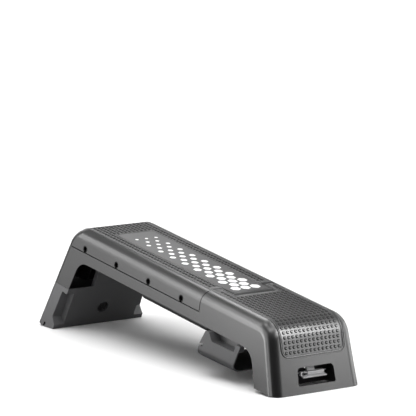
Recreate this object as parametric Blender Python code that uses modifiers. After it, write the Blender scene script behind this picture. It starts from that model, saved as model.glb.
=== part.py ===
"""Convertible aerobic step: a training deck whose long lid folds up as a backrest and whose
two end legs fold down to raise it.  It stands as in a decline workout: far leg out, near leg
folded under.  Metres, Z up.

Deck axes: u runs along the deck (far end -u, near end +u), v across it, w up from the plane
of its own feet.  Everything is modelled on these axes and hangs from one tilted empty.
"""

import math

import bmesh
import bpy
from mathutils import Matrix, Vector

# Deck form
HALF_LENGTH = 0.597
HALF_WIDTH = 0.165
HEIGHT = 0.203
END_SLOPE = math.radians(20.8)
SIDE_DRAFT = math.radians(3.7)
END_ROUND = 0.072
SHOULDER_WIDTH = 0.0435
SHOULDER_DROP = 0.035
CORNER_WIDTH = 0.034
CORNER_DEPTH = 0.030
WALL = 0.004
DECLINE = math.radians(7.561)

# Lid seam, skirt and the arch between the feet
SEAM_U = 0.187
SEAM_W = 0.1385
SEAM_GAP = 0.003
SKIRT_W = 0.1035
FLOOR_TOP = 0.107
FOOT_INNER_U = 0.4975
ARCH_ROUND = 0.056
LEDGE_TOP = 0.1345
LIP_TOP = 0.1415
LIP_INSET = 0.0080
LIP_THICK = 0.0025

# Lid hinge and tongue
LID_AXIS = (0.238, 0.190)
TONGUE_HALF = 0.072
TONGUE_GAP = 0.002
BARREL_RADIUS = 0.013
LID_ROD_RADIUS = 0.004

# Tread, panel and side slots
TREAD_HALF = 0.118
PANEL_HALF = 0.0685
PANEL_START = -0.392
PANEL_END = 0.232
TREAD_PROUD = 0.0010
TREAD_DEPTH = 0.0012
TREAD_CORNER = 0.025
SEAT_TREAD_LOW = 0.103
LID_TREAD_LOW = 0.152
SLOT_START = -0.438
SLOT_PITCH = 0.1755
SLOT_W = 0.1505
SLOT_RADIUS = 0.0088
SLOT_NOTCH = 0.0095

# Support strut, its racks and the storage tray
STRUT_PIVOT = (-0.080, 0.170)
STRUT_LENGTH = 0.350
STRUT_HALF = 0.1285
STRUT_RADIUS = 0.005
STRUT_RATIO = 2.12
RACK_TOP = 0.1232
RACK_ANGLES = (30, 45, 60)
TRAY_LOW = 0.064
TRAY_TOP_HALF = (0.181, 0.1145)
TRAY_LOW_HALF = (0.179, 0.1095)
TRAY_HOLE = (0.1825, 0.1160)
TRAY_FLANGE = (0.1870, 0.1215)

# Legs
LEG_AXIS = (0.4905, 0.079)
LEG_PIN_RADIUS = 0.005
LEG_TONGUE_HALF = 0.067
LEG_POCKET_HALF = 0.137
LEG_POCKET_DEPTH = 0.0245
LEG_CORNER_U = 0.6125
LEG_RIM_GAP = 0.0008
PAD_PROUD = 0.0008
CHEEK_FROM = 0.0695
CHEEK_TO = 0.0775
HOOK_AT = (0.6045, -0.1480)
KNOB_S = 0.0963
KNOB_RADIUS = 0.0185

# Release paddle in each handle hole
PADDLE_AXIS = (0.553, 0.050)
PADDLE_HALF = 0.0435
FIT = 0.0003

# The sides as a user on the seat would name them, looking along the deck to its far end
HANDS = ((-1, "left"), (1, "right"))


# Materials

PLASTIC = ("deck plastic", (0.135, 0.135, 0.140), 0.38, 0.0)
LEG_PLASTIC = ("leg plastic", (0.180, 0.180, 0.185), 0.42, 0.0)
DARK_PLASTIC = ("dark plastic", (0.035, 0.035, 0.038), 0.45, 0.0)
RUBBER = ("tread rubber", (0.055, 0.055, 0.058), 0.65, 0.0)
PANEL = ("panel plastic", (0.150, 0.150, 0.155), 0.45, 0.0)
PADDLE_PLASTIC = ("paddle plastic", (0.330, 0.330, 0.340), 0.35, 0.0)
STEEL = ("steel", (0.560, 0.560, 0.570), 0.28, 1.0)


def material(recipe):
    """One Principled material for one piece."""
    name, colour, roughness, metallic = recipe
    made = bpy.data.materials.new(name)
    made.use_nodes = True
    shader = made.node_tree.nodes["Principled BSDF"]
    shader.inputs["Base Color"].default_value = (*colour, 1.0)
    shader.inputs["Roughness"].default_value = roughness
    shader.inputs["Metallic"].default_value = metallic
    return made


# Solids

def solid(name, mesh):
    """A mesh as an object on the workbench."""
    made = bpy.data.objects.new(name, mesh)
    BENCH.objects.link(made)
    return made


def from_bmesh(name, shape):
    """A closed bmesh as an object with its faces outward."""
    bmesh.ops.recalc_face_normals(shape, faces=shape.faces)
    if shape.calc_volume(signed=True) < 0:
        bmesh.ops.reverse_faces(shape, faces=shape.faces)
    mesh = bpy.data.meshes.new(name)
    shape.to_mesh(mesh)
    shape.free()
    return solid(name, mesh)


def combine(target, tool, operation):
    """Boolean of two closed solids, which uses up the tool."""
    modifier = target.modifiers.new("Boolean", "BOOLEAN")
    modifier.operation = operation
    modifier.object = tool
    view = bpy.context.evaluated_depsgraph_get()
    shape = bmesh.new()
    shape.from_mesh(bpy.data.meshes.new_from_object(target.evaluated_get(view)))
    bmesh.ops.remove_doubles(shape, verts=shape.verts, dist=0.000002)
    target.modifiers.clear()
    shape.to_mesh(target.data)
    shape.free()
    bpy.data.objects.remove(tool)
    return target


def add(target, *tools):
    for tool in tools:
        combine(target, tool, "UNION")
    return target


def cut(target, *tools):
    for tool in tools:
        combine(target, tool, "DIFFERENCE")
    return target


def keep(target, *tools):
    for tool in tools:
        combine(target, tool, "INTERSECT")
    return target


def copy_of(source, name):
    return solid(name, source.data.copy())


def mirrored(source, name, flip):
    """A copy turned over the middle plane of one deck axis, with its faces set outward again."""
    scale = [1.0, 1.0, 1.0]
    scale[flip] = -1.0
    made = copy_of(source, name)
    made.data.transform(Matrix.Diagonal((*scale, 1.0)))
    made.data.flip_normals()
    return made


def block(u, v, w, name="block"):
    """A box between two values on each axis."""
    shape = bmesh.new()
    bmesh.ops.create_cube(shape, size=1.0)
    size = Vector((u[1] - u[0], v[1] - v[0], w[1] - w[0]))
    middle = Vector((u[1] + u[0], v[1] + v[0], w[1] + w[0])) / 2
    bmesh.ops.scale(shape, vec=size, verts=shape.verts)
    bmesh.ops.translate(shape, vec=middle, verts=shape.verts)
    return from_bmesh(name, shape)


def drum(radius, low, high, at, name="drum", along="v", sides=28):
    """A cylinder along one deck axis; at gives its centre on the other two."""
    shape = bmesh.new()
    bmesh.ops.create_cone(shape, cap_ends=True, segments=sides, radius1=radius, radius2=radius,
                          depth=high - low)
    middle = (high + low) / 2
    if along == "v":
        place = Matrix.Translation((at[0], middle, at[1])) @ Matrix.Rotation(math.pi / 2, 4, "X")
    else:
        place = Matrix.Translation((at[0], at[1], middle))
    bmesh.ops.transform(shape, matrix=place, verts=shape.verts)
    return from_bmesh(name, shape)


def rounded(points):
    """An outline's corners with a third value become arcs of that radius."""
    done = []
    count = len(points)
    for number, point in enumerate(points):
        here = Vector(point[:2])
        radius = point[2] if len(point) > 2 else 0.0
        if radius == 0.0:
            done.append(here)
            continue
        back = (Vector(points[number - 1][:2]) - here).normalized()
        ahead = (Vector(points[(number + 1) % count][:2]) - here).normalized()
        half = back.angle(ahead) / 2
        centre = here + (back + ahead).normalized() * radius / math.sin(half)
        start = here + back * radius / math.tan(half) - centre
        turn = start.angle_signed(here + ahead * radius / math.tan(half) - centre)
        steps = max(2, round(abs(turn) / math.radians(15 if radius > 0.008 else 30)))
        for step in range(steps + 1):
            done.append(centre + Matrix.Rotation(-turn * step / steps, 2) @ start)
    return done


PLANES = {
    "side": Matrix(((1, 0, 0, 0), (0, 0, -1, 0), (0, 1, 0, 0), (0, 0, 0, 1))),
    "end": Matrix(((0, 0, 1, 0), (1, 0, 0, 0), (0, 1, 0, 0), (0, 0, 0, 1))),
    "plan": Matrix.Identity(4),
}
DEPTH_AXIS = {"side": (0, 1, 0), "end": (1, 0, 0), "plan": (0, 0, 1)}


def prism(points, low, high, plane="side", name="prism"):
    """A flat outline extruded square to its plane: (u, w) side, (v, w) end or (u, v) plan."""
    curve = bpy.data.curves.new(name, "CURVE")
    curve.dimensions = "2D"
    curve.fill_mode = "BOTH"
    curve.extrude = (high - low) / 2
    outline = rounded(points)
    spline = curve.splines.new("POLY")
    spline.points.add(len(outline) - 1)
    for spot, point in zip(spline.points, outline):
        spot.co = (point.x, point.y, 0.0, 1.0)
    spline.use_cyclic_u = True
    drawn = solid(name, curve)
    view = bpy.context.evaluated_depsgraph_get()
    mesh = bpy.data.meshes.new_from_object(drawn.evaluated_get(view))
    bpy.data.objects.remove(drawn)
    shift = Vector(DEPTH_AXIS[plane]) * (high + low) / 2
    mesh.transform(Matrix.Translation(shift) @ PLANES[plane])
    shape = bmesh.new()
    shape.from_mesh(mesh)
    bmesh.ops.remove_doubles(shape, verts=shape.verts, dist=0.00001)
    return from_bmesh(name, shape)


def both_sides(points, low, high, name):
    """A side outline extruded between two values of v on both sides, as two solids."""
    return (prism(points, low, high, "side", name), prism(points, -high, -low, "side", name))


def turned(profile, place, name, steps=28):
    """A profile of (radius, height) turned round an axis that place sets in the deck."""
    mesh = bpy.data.meshes.new(name)
    mesh.from_pydata([(r, 0.0, h) for r, h in profile],
                     [(n, n + 1) for n in range(len(profile) - 1)], [])
    made = solid(name, mesh)
    screw = made.modifiers.new("Screw", "SCREW")
    screw.axis = "Z"
    screw.steps = steps
    screw.render_steps = steps
    screw.use_merge_vertices = True
    screw.merge_threshold = 0.00001
    view = bpy.context.evaluated_depsgraph_get()
    mesh = bpy.data.meshes.new_from_object(made.evaluated_get(view))
    bpy.data.objects.remove(made)
    mesh.transform(place)
    shape = bmesh.new()
    shape.from_mesh(mesh)
    return from_bmesh(name, shape)


# Outer form

def wall_reach(w):
    """Distance of the sloping end wall from the middle at a height."""
    return HALF_LENGTH - w * math.tan(END_SLOPE)


def side_reach(w):
    """Distance of the drafted side wall from the middle at a height."""
    return HALF_WIDTH - w * math.tan(SIDE_DRAFT)


ROUND_W = HEIGHT - END_ROUND
ROUND_U = wall_reach(ROUND_W) - END_ROUND / math.cos(END_SLOPE)


def side_profile(steps):
    """Points of the near half from low on the end wall to the top, each with its outward
    normal's angle from level."""
    low = -0.20
    points = [(wall_reach(low), low, END_SLOPE)]
    for step in range(steps + 1):
        angle = END_SLOPE + (math.pi / 2 - END_SLOPE) * step / steps
        u = ROUND_U + END_ROUND * math.cos(angle)
        w = ROUND_W + END_ROUND * math.sin(angle)
        points.append((u, w, angle))
    return points


def form(inset=0.0, name="form"):
    """The closed outer form, or the same form a wall's thickness further in.  Side profiles
    are lofted across the deck and drawn in towards its sides, so one shoulder runs along the
    top edges, round the ends and down their corners."""
    shape = bmesh.new()
    rings = []
    steps = 4 if inset else 7
    turns = [-math.pi / 2 + math.pi / 2 * n / steps for n in range(steps + 1)]
    half = side_profile(6 if inset else 10)
    for sign in (-1, 1):
        order = turns if sign < 0 else turns[::-1]
        for turn in order:
            ring = []
            for side, part in ((1, half), (-1, half[::-1])):
                for u, w, angle in part:
                    top = (angle - END_SLOPE) / (math.pi / 2 - END_SLOPE)
                    drop = CORNER_DEPTH + (SHOULDER_DROP - CORNER_DEPTH) * top - inset
                    wide = CORNER_WIDTH + (SHOULDER_WIDTH - CORNER_WIDTH) * top - inset
                    sink = inset + drop * (1 - math.cos(turn))
                    u_in = u - sink * math.cos(angle)
                    w_in = w - sink * math.sin(angle)
                    v = side_reach(w_in) - inset - wide * (1 - math.sin(-turn))
                    ring.append(shape.verts.new((side * u_in, sign * v, w_in)))
            rings.append(ring)
    for ring, after in zip(rings, rings[1:]):
        for n in range(len(ring)):
            m = (n + 1) % len(ring)
            shape.faces.new((ring[n], ring[m], after[m], after[n]))
    shape.faces.new(rings[0])
    shape.faces.new(rings[-1])
    bmesh.ops.remove_doubles(shape, verts=shape.verts, dist=0.000001)
    return from_bmesh(name, shape)


WIDE = 0.30


def filled(u, w, inset, v=(-WIDE, WIDE)):
    """The part of the form inside given limits, a little into the wall when inset allows."""
    return keep(form(inset), block(u, v, w))


def skin():
    """The empty shell of the whole deck above its feet."""
    shell = form(name="skin")
    cut(shell, form(WALL))
    return keep(shell, block((-1, 1), (-WIDE, WIDE), (0.0, 1.0)))


def top_strip(side, start, low_w, half, proud, depth, corner):
    """A band that follows the top from start, over the end rounding and down the end wall."""
    angles = [math.pi / 2 - (math.pi / 2 - END_SLOPE) * n / 12 for n in range(13)]
    foot_u = wall_reach(low_w)
    outside = [(start, HEIGHT + proud)]
    inside = [(start, HEIGHT - depth)]
    for points, offset in ((outside, proud), (inside, -depth)):
        for angle in angles:
            points.append((ROUND_U + (END_ROUND + offset) * math.cos(angle),
                           ROUND_W + (END_ROUND + offset) * math.sin(angle)))
        points.append((foot_u + offset * math.cos(END_SLOPE), low_w + offset * math.sin(END_SLOPE)))
    outline = [(side * u, w) for u, w in outside + inside[::-1]]
    strip = prism(outline, -half, half)
    frame = [(-half, low_w, corner), (half, low_w, corner), (half, 0.4), (-half, 0.4)]
    return keep(strip, prism(frame, -1.0, 1.0, "end"))


# Body

def lid_zone(gap):
    """Everything above the seam: the lid's side of it with a gap, the body's without."""
    right = SEAM_U - gap
    low = SEAM_W + (gap / 2 if gap else -SEAM_GAP / 2)
    return prism([(-1, low), (right, low), (right, 0.4), (-1, 0.4)], -WIDE, WIDE)


def arch():
    """The opening under the skirt, between the two feet."""
    top_u = FOOT_INNER_U - SKIRT_W * math.tan(END_SLOPE)
    low_u = FOOT_INNER_U + 0.02 * math.tan(END_SLOPE)
    outline = [(-low_u, -0.02), (low_u, -0.02), (top_u, SKIRT_W, ARCH_ROUND),
               (-top_u, SKIRT_W, ARCH_ROUND)]
    return prism(outline, -WIDE, WIDE)


def handle_hole(side):
    """The hand hole in an end wall."""
    outline = [(-0.070, 0.0225, 0.005), (0.070, 0.0225, 0.005), (0.067, 0.074, 0.012),
               (-0.067, 0.074, 0.012)]
    low, high = sorted((side * 0.548, side * 0.65))
    return prism(outline, low, high, "end")


def rim_lip():
    """A ledge inside the skirt's rim and the upstand on it, set back so that the seam is a
    deep groove that nothing shows through."""
    lip = filled((-1, SEAM_U + 0.001), (0.128, LEDGE_TOP), WALL - 0.001)
    add(lip, filled((-1, SEAM_U + 0.001), (0.130, LIP_TOP), LIP_INSET))
    return cut(lip, form(LIP_INSET + LIP_THICK))


def cheek_outline(top_w):
    """A hinge cheek: round at the pin, out to the end wall and up to the floor or the top."""
    axis_u, axis_w = LEG_AXIS
    return [(axis_u - 0.015, axis_w - 0.015, 0.013), (axis_u + 0.013, axis_w - 0.015, 0.010),
            (0.528, 0.0085, 0.006), (0.620, 0.0085), (0.620, top_w), (axis_u - 0.015, top_w)]


def cheeks(side, top_w):
    outline = [(side * u, w, *rest) for u, w, *rest in cheek_outline(top_w)]
    made = []
    for plate in both_sides(outline, CHEEK_FROM, CHEEK_TO, "cheek"):
        made.append(keep(plate, form(WALL - 0.001)))
    return made


def well_wall(side, top_w):
    """The wall behind the hand hole, from cheek to cheek, with a slot for the pawl's arm."""
    u = sorted((side * 0.5365, side * 0.5395))
    wall = filled(u, (0.0100, top_w), WALL - 0.001, (-CHEEK_FROM - 0.001, CHEEK_FROM + 0.001))
    return cut(wall, block((u[0] - 0.01, u[1] + 0.01), (-0.0165, 0.0165), (0.057, 0.100)))


def corner_blocks(side):
    """Thick corners at the rim of a body end, with the sockets of its rubber feet."""
    made = []
    for across in (-1, 1):
        u = sorted((side * 0.553, side * 0.61))
        v = sorted((across * 0.121, across * 0.18))
        made.append(filled(u, (0.0006, 0.018), WALL - 0.001, v))
    return made


def near_ribs():
    """The rib grid that hangs under the closed seat part."""
    low = 0.118
    ribs = []
    for v in (-0.0755, 0.0755):
        ribs.append(filled((SEAM_U + 0.001, 0.515), (low, 0.3), WALL - 0.001, (v - 0.0013, v + 0.0013)))
    ribs.append(filled((0.254, 0.515), (low, 0.3), WALL - 0.001, (-0.0013, 0.0013)))
    for n in range(4):
        u = 0.295 + 0.062 * n
        ribs.append(filled((u, u + 0.0026), (low, 0.3), WALL - 0.001))
    return ribs


def body_shell(shell):
    """One moulding: two hollow ends, the skirt with its floor, and the closed seat part."""
    cut(shell, lid_zone(0.0), arch())
    add(shell, filled((-1, SEAM_U + 0.0030), (SKIRT_W + 0.0005, FLOOR_TOP), WALL - 0.001))
    add(shell, rim_lip())
    add(shell, filled((SEAM_U + 0.0006, SEAM_U + 0.0040), (SKIRT_W + 0.0010, 0.3), WALL - 0.001))
    recess_half = TONGUE_HALF + TONGUE_GAP
    add(shell, block((SEAM_U + 0.0012, 0.2560), (-recess_half - 0.0035, recess_half + 0.0035),
                     (0.1715, 0.2005)))
    add(shell, *near_ribs())
    for side, top_w in ((1, 0.3), (-1, SKIRT_W + 0.001)):
        add(shell, *cheeks(side, top_w), well_wall(side, top_w - 0.0002))
    for side in (-1, 1):
        add(shell, *corner_blocks(side))
        for across in (-1, 1):
            cut(shell, drum(0.0093, -0.01, 0.0045, (side * 0.573, across * 0.141), along="w"))
        cut(shell, handle_hole(side))
        cut(shell, drum(LEG_PIN_RADIUS + FIT, -0.1, 0.1, (side * LEG_AXIS[0], LEG_AXIS[1]), sides=20))
        cut(shell, drum(0.0033, -0.1, 0.1, (side * PADDLE_AXIS[0], PADDLE_AXIS[1]), sides=16))
    for low, high in ((recess_half - 0.0005, 0.094), (-0.094, -recess_half + 0.0005)):
        add(shell, drum(0.0098, low, high, LID_AXIS))
    cut(shell, block((SEAM_U - 0.01, 0.2525), (-recess_half, recess_half), (0.1755, 0.3)))
    cut(shell, drum(LID_ROD_RADIUS + FIT, -0.0905, 0.0905, LID_AXIS, sides=20))
    cut(shell, top_strip(1, SEAM_U + 0.0045, SEAT_TREAD_LOW - 0.002, TREAD_HALF + 0.002, 0.01,
                         TREAD_DEPTH + FIT, TREAD_CORNER + 0.002))
    hole_u, hole_v = TRAY_HOLE
    cut(shell, prism([(-hole_u, -hole_v, 0.012), (hole_u, -hole_v, 0.012), (hole_u, hole_v, 0.012),
                      (-hole_u, hole_v, 0.012)], 0.09, 0.115, "plan"))
    for n in range(4):
        u = SLOT_START + SLOT_PITCH * n
        cut(shell, block((u - SLOT_NOTCH, u + SLOT_NOTCH), (-WIDE, WIDE), (SEAM_W - 0.0012, 0.16)))
    shell.name = "body_shell"
    return shell


def seat_tread():
    """The ribbed rubber mat of the seat, wrapped over the near end."""
    mat = top_strip(1, SEAM_U + 0.0055, SEAT_TREAD_LOW, TREAD_HALF, TREAD_PROUD, TREAD_DEPTH,
                    TREAD_CORNER)
    notch = TONGUE_HALF + TONGUE_GAP + 0.0035
    cut(mat, block((0.1, 0.2570), (-notch, notch), (0.19, 0.3)))
    mat.name = "seat_tread"
    return mat


def tub(top, low, low_w, high_w, name):
    """A drafted box with rounded uprights and floor edge."""
    shape = bmesh.new()
    bmesh.ops.create_cube(shape, size=2.0)
    for vert in shape.verts:
        half = top if vert.co.z > 0 else low
        vert.co = Vector((vert.co.x * half[0], vert.co.y * half[1],
                          high_w if vert.co.z > 0 else low_w))
    soft = [e for e in shape.edges if min(v.co.z for v in e.verts) < low_w + 0.001]
    bmesh.ops.bevel(shape, geom=soft, offset=0.010, segments=3, profile=0.5, affect="EDGES")
    return from_bmesh(name, shape)


def storage_tray():
    """The drop-in tray between the folded legs, hung by its flange."""
    tray = tub(TRAY_TOP_HALF, TRAY_LOW_HALF, TRAY_LOW, FLOOR_TOP + 0.0015, "storage_tray")
    flange_u, flange_v = TRAY_FLANGE
    add(tray, prism([(-flange_u, -flange_v, 0.012), (flange_u, -flange_v, 0.012),
                     (flange_u, flange_v, 0.012), (-flange_u, flange_v, 0.012)],
                    FLOOR_TOP + FIT, FLOOR_TOP + 0.0023, "plan"))
    thin = 0.003
    inner_top = (TRAY_TOP_HALF[0] - thin + 0.0015, TRAY_TOP_HALF[1] - thin + 0.0005)
    inner_low = (TRAY_LOW_HALF[0] - thin, TRAY_LOW_HALF[1] - thin)
    cut(tray, tub(inner_top, inner_low, TRAY_LOW + thin, FLOOR_TOP + 0.010, "inside"))
    return tray


def strut_foot(lid_angle):
    """Where the strut's foot bar is, in the deck, with the lid raised by an angle."""
    def swung(u, w, angle):
        return Vector((u * math.cos(angle) + w * math.sin(angle),
                       -u * math.sin(angle) + w * math.cos(angle)))
    pivot = swung(STRUT_PIVOT[0] - LID_AXIS[0], STRUT_PIVOT[1] - LID_AXIS[1], lid_angle)
    return Vector(LID_AXIS) + pivot + swung(-STRUT_LENGTH, 0.0, lid_angle * (1 - STRUT_RATIO))


def rack(side, name):
    """A rail with the notches that hold the strut's foot bar."""
    base = FLOOR_TOP + FIT
    outline = [(-0.335, base), (0.005, base), (0.005, RACK_TOP, 0.003)]
    for degrees in reversed(RACK_ANGLES):
        u = strut_foot(math.radians(degrees)).x
        outline += [(u + 0.012, RACK_TOP, 0.002), (u + 0.004, RACK_TOP - 0.008, 0.0035),
                    (u - 0.007, RACK_TOP - 0.008, 0.0035), (u - 0.007, RACK_TOP, 0.002)]
    outline.append((-0.335, RACK_TOP, 0.003))
    low, high = sorted((side * 0.1238, side * 0.1336))
    return prism(outline, low, high, "side", name)


def button(side, across, name):
    """A rubber foot pressed into its socket in a corner of the rim."""
    place = Matrix.Translation((side * 0.573, across * 0.141, 0.0))
    profile = [(0.0, 0.0040), (0.0090, 0.0040), (0.0090, -0.0008), (0.0080, -0.0015), (0.0, -0.0015)]
    return turned(profile, place, name, 18)


def across_axis(at, v=0.0):
    """Places a turned piece with its axis across the deck."""
    return Matrix.Translation((at[0], v, at[1])) @ Matrix.Rotation(-math.pi / 2, 4, "X")


def lid_rod():
    half = 0.0900
    profile = [(0.0, half), (LID_ROD_RADIUS - 0.0006, half), (LID_ROD_RADIUS, half - 0.0006),
               (LID_ROD_RADIUS, -half + 0.0006), (LID_ROD_RADIUS - 0.0006, -half), (0.0, -half)]
    return turned(profile, across_axis(LID_AXIS), "lid_hinge_rod", 20)


def leg_pin(side, name):
    """A headed pin through both cheeks and the leg's barrel."""
    end = CHEEK_TO + FIT
    profile = [(0.0, end + 0.0025), (0.0080, end + 0.0025), (0.0085, end + 0.0018), (0.0085, end),
               (LEG_PIN_RADIUS, end), (LEG_PIN_RADIUS, -end), (0.0085, -end),
               (0.0085, -end - 0.0018), (0.0080, -end - 0.0025), (0.0, -end - 0.0025)]
    return turned(profile, across_axis((side * LEG_AXIS[0], LEG_AXIS[1])), name, 20)


def leg_washer(side, across, name):
    """A nylon washer between the barrel and one cheek."""
    low, high = sorted((across * (LEG_TONGUE_HALF + FIT), across * (CHEEK_FROM - FIT)))
    at = (side * LEG_AXIS[0], LEG_AXIS[1])
    washer = drum(0.0125, low, high, at, name, sides=24)
    return cut(washer, drum(LEG_PIN_RADIUS + FIT, -0.1, 0.1, at, sides=20))


def paddle_pin(side, name):
    at = (side * PADDLE_AXIS[0], PADDLE_AXIS[1])
    return drum(0.0030, -CHEEK_TO - 0.001, CHEEK_TO + 0.001, at, name, sides=16)


# Backrest lid

def keyholes():
    """The slots in the lid's side walls that hold a knotted band."""
    made = []
    for n in range(4):
        u = SLOT_START + SLOT_PITCH * n
        neck = math.asin(0.0034 / SLOT_RADIUS)
        outline = [(u + 0.0034, 0.130)]
        turns = 14
        for step in range(turns + 1):
            angle = -math.pi / 2 + neck + (2 * math.pi - 2 * neck) * step / turns
            outline.append((u + SLOT_RADIUS * math.cos(angle), SLOT_W + SLOT_RADIUS * math.sin(angle)))
        outline.append((u - 0.0034, 0.130))
        made += both_sides(outline, 0.125, 0.20, "slot")
    return made


def tongue():
    """The lid's centre tongue with the hinge barrel at its end."""
    u, w = LID_AXIS
    outline = [(0.176, HEIGHT), (u, HEIGHT)]
    for step in range(1, 12):
        angle = math.pi / 2 - math.pi * step / 12
        outline.append((u + BARREL_RADIUS * math.cos(angle), w + BARREL_RADIUS * math.sin(angle)))
    outline += [(u, w - BARREL_RADIUS), (u - 0.012, w - 0.0095, 0.006), (u - 0.020, 0.1888, 0.006),
                (0.176, 0.1888)]
    return prism(outline, -TONGUE_HALF, TONGUE_HALF)


def lid_ribs():
    """The rib grid under the lid's top."""
    low = 0.1865
    ribs = []
    for v in (-0.074, 0.0, 0.074):
        ribs.append(filled((-0.545, 0.183), (low, 0.3), WALL - 0.001, (v - 0.0012, v + 0.0012)))
    for n in range(7):
        u = -0.455 + 0.098 * n
        ribs.append(filled((u - 0.0012, u + 0.0012), (low, 0.3), WALL - 0.001))
    return ribs


def backrest_shell(shell):
    """The lid: a deep tray upside down that is flush with the body all round."""
    keep(shell, lid_zone(SEAM_GAP))
    end = SEAM_U - SEAM_GAP
    add(shell, filled((end - 0.003, end), (LIP_TOP + 0.0020, 0.3), WALL - 0.001))
    add(shell, tongue(), *lid_ribs())
    cut(shell, *keyholes())
    cut(shell, top_strip(-1, -0.1790, LID_TREAD_LOW - 0.002, TREAD_HALF + 0.002, 0.01,
                         TREAD_DEPTH + FIT, TREAD_CORNER + 0.002))
    cut(shell, block((0.170, PANEL_END + 0.0005), (-PANEL_HALF - 0.0005, PANEL_HALF + 0.0005),
                     (HEIGHT - TREAD_DEPTH - FIT - 0.0002, 0.3)))
    cut(shell, drum(LID_ROD_RADIUS + FIT, -0.1, 0.1, LID_AXIS, sides=20))
    shell.name = "backrest_shell"
    return shell


def panel_outline(grow):
    """The smooth panel's plan, from the head of the lid to the end of the tongue."""
    half = PANEL_HALF + grow
    return [(PANEL_START - grow, -half, 0.010), (PANEL_END + grow, -half, 0.004),
            (PANEL_END + grow, half, 0.004), (PANEL_START - grow, half, 0.010)]


def backrest_tread():
    """The lid's rubber mat: wrapped over the far end and open round the smooth panel."""
    mat = top_strip(-1, -0.1780, LID_TREAD_LOW, TREAD_HALF, TREAD_PROUD, TREAD_DEPTH, TREAD_CORNER)
    cut(mat, prism(panel_outline(0.0005), 0.18, 0.25, "plan"))
    mat.name = "backrest_tread"
    return mat


def centre_panel():
    low, high = HEIGHT - TREAD_DEPTH, HEIGHT + 0.0003
    return prism(panel_outline(0.0), low, high, "plan", "centre_panel")


def strut_clamp(across, name):
    """A saddle under the lid that carries the strut's pivot bar."""
    u, w = STRUT_PIVOT
    outline = [(u - 0.013, HEIGHT - WALL - FIT), (u - 0.010, w - 0.010, 0.009),
               (u + 0.010, w - 0.010, 0.009), (u + 0.013, HEIGHT - WALL - FIT)]
    low, high = sorted((across * 0.086, across * 0.108))
    clamp = prism(outline, low, high, "side", name)
    return cut(clamp, drum(STRUT_RADIUS + 0.0005, -0.2, 0.2, STRUT_PIVOT, sides=20))


def support_strut():
    """A closed loop of steel bar: pivot bar, two arms and foot bar, with rounded corners."""
    u, w = STRUT_PIVOT
    outline = rounded([(u, -STRUT_HALF, 0.022), (u, STRUT_HALF, 0.022),
                       (u - STRUT_LENGTH, STRUT_HALF, 0.022), (u - STRUT_LENGTH, -STRUT_HALF, 0.022)])
    curve = bpy.data.curves.new("support_strut", "CURVE")
    curve.dimensions = "3D"
    curve.bevel_depth = STRUT_RADIUS
    curve.bevel_resolution = 3
    spline = curve.splines.new("POLY")
    spline.points.add(len(outline) - 1)
    for spot, point in zip(spline.points, outline):
        spot.co = (point.x, point.y, w, 1.0)
    spline.use_cyclic_u = True
    drawn = solid("drawn", curve)
    view = bpy.context.evaluated_depsgraph_get()
    shape = bmesh.new()
    shape.from_mesh(bpy.data.meshes.new_from_object(drawn.evaluated_get(view)))
    bpy.data.objects.remove(drawn)
    bmesh.ops.remove_doubles(shape, verts=shape.verts, dist=0.00001)
    return from_bmesh("support_strut", shape)


# Legs, drawn at the near end as if folded out

ALONG = Vector((math.sin(END_SLOPE), -math.cos(END_SLOPE)))
INWARD = Vector((math.cos(END_SLOPE), math.sin(END_SLOPE)))
LEG_TOP = Vector((FOOT_INNER_U, 0.0))


def on_leg(s, d):
    """A point s down the leg's inner face and d into the leg."""
    return LEG_TOP + ALONG * s + INWARD * d


def floor_line(u):
    """The floor under a folded-out leg when the other end stands on its rim."""
    return -(u + HALF_LENGTH) * math.tan(DECLINE)


def leg_heel():
    """Where the inner face meets that floor line."""
    slope = math.tan(DECLINE)
    drop = (FOOT_INNER_U + HALF_LENGTH) * slope / (1 - math.tan(END_SLOPE) * slope)
    return Vector((FOOT_INNER_U + drop * math.tan(END_SLOPE), -drop))


def leg_outline(raise_by, top):
    """The leg's side: inner face, floor facet, bevel and open top."""
    heel = leg_heel()
    toe = Vector((LEG_CORNER_U, floor_line(LEG_CORNER_U)))
    bevel = (0.75, toe.y + (0.75 - LEG_CORNER_U) * math.tan(math.radians(11.3)))
    heel_up = on_leg((-heel.y - raise_by) / math.cos(END_SLOPE), 0.0)
    return [tuple(on_leg(-top / math.cos(END_SLOPE), 0.0)), (0.75, top),
            (bevel[0], bevel[1] + raise_by), (toe.x, toe.y + raise_by), tuple(heel_up)]


def pocket_outline(grow):
    """The open pocket in each inner corner of the leg."""
    deep = LEG_POCKET_DEPTH + grow
    return [(*on_leg(0.0215 - grow, -0.02),), (*on_leg(0.0215 - grow, 0.0),),
            (*on_leg(0.0270 - grow, deep), 0.005), (*on_leg(0.1300 + grow, deep), 0.005),
            (*on_leg(0.1466 + grow, 0.0),), (*on_leg(0.1466 + grow, -0.02),)]


def toe_rounding():
    """The waste outside the rounding between the leg's outer wall and the bevel at its toe."""
    radius = 0.016
    rise = math.tan(math.radians(11.3))
    toe = Vector((LEG_CORNER_U, floor_line(LEG_CORNER_U)))
    corner_w = (toe.y + (HALF_LENGTH - LEG_CORNER_U) * rise) / (1 + math.tan(END_SLOPE) * rise)
    corner = Vector((wall_reach(corner_w), corner_w))
    up = Vector((-math.sin(END_SLOPE), math.cos(END_SLOPE)))
    back = Vector((-math.cos(math.radians(11.3)), -math.sin(math.radians(11.3))))
    half = up.angle(back) / 2
    centre = corner + (up + back).normalized() * (radius - 0.00012) / math.sin(half)
    outward = corner - centre
    middle = math.atan2(outward.y, outward.x)
    sweep = math.pi - 2 * half
    outline = [tuple(corner + outward.normalized() * 0.02)]
    for step in range(7):
        angle = middle + sweep * 1.15 * (0.5 - step / 6)
        outline.append(tuple(centre + Vector((math.cos(angle), math.sin(angle))) * radius))
    return prism(outline, -WIDE, WIDE)


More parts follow.
